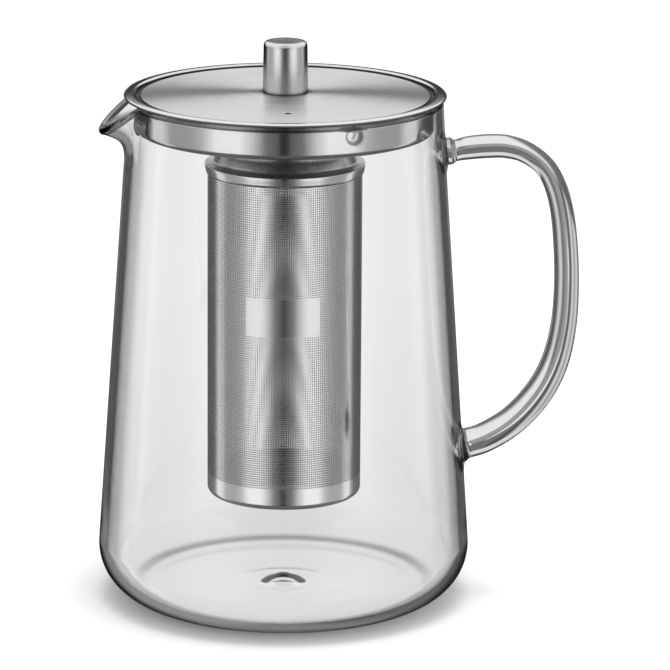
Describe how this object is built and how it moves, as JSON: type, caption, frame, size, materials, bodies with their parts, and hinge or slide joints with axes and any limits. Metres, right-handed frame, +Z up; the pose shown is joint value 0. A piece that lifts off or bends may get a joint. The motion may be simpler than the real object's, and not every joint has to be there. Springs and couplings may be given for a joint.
{
  "type": "glass teapot",
  "caption": "Clear glass jug teapot with a pulled spout, a looped glass rod handle, a lift-off steel lid with a cylindrical knob and a hanging perforated infuser.",
  "frame": {"origin": "centre of the foot, on the jug's axis, at the level the teapot stands on", "axes": "+Z up along the jug's axis, +X towards the handle, -X towards the spout, -Y the front with the infuser's bare panel"},
  "size_m": [0.1592, 0.1236, 0.1876],
  "materials": {
    "glass_clear": "clear, smooth borosilicate",
    "steel_brushed": "circular brushed",
    "steel_polished": "polished stainless",
    "steel_turned": "fine turned satin",
    "steel_plain": "plain stainless",
    "steel_perforated": "finely perforated stainless"
  },
  "bodies": {
    "jug": {"jug": "glass_clear", "handle": "glass_clear"},
    "lid": {"lid_plate": "steel_brushed", "lid_skirt": "steel_polished", "infuser_socket": "steel_polished", "knob": "steel_turned", "knob_washer": "steel_plain", "knob_screw": "steel_plain"},
    "infuser": {"infuser_ring": "steel_polished", "infuser_tube": "steel_perforated", "infuser_base": "steel_polished"}
  },
  "joints": [
    {"name": "lid_lift", "type": "slide", "parent": "jug", "child": "lid", "axis": [0, 0, 1], "range_m": [0, 0.14]},
    {"name": "infuser_pull", "type": "slide", "parent": "lid", "child": "infuser", "axis": [0, 0, 1], "range_m": [-0.025, 0]}
  ]
}
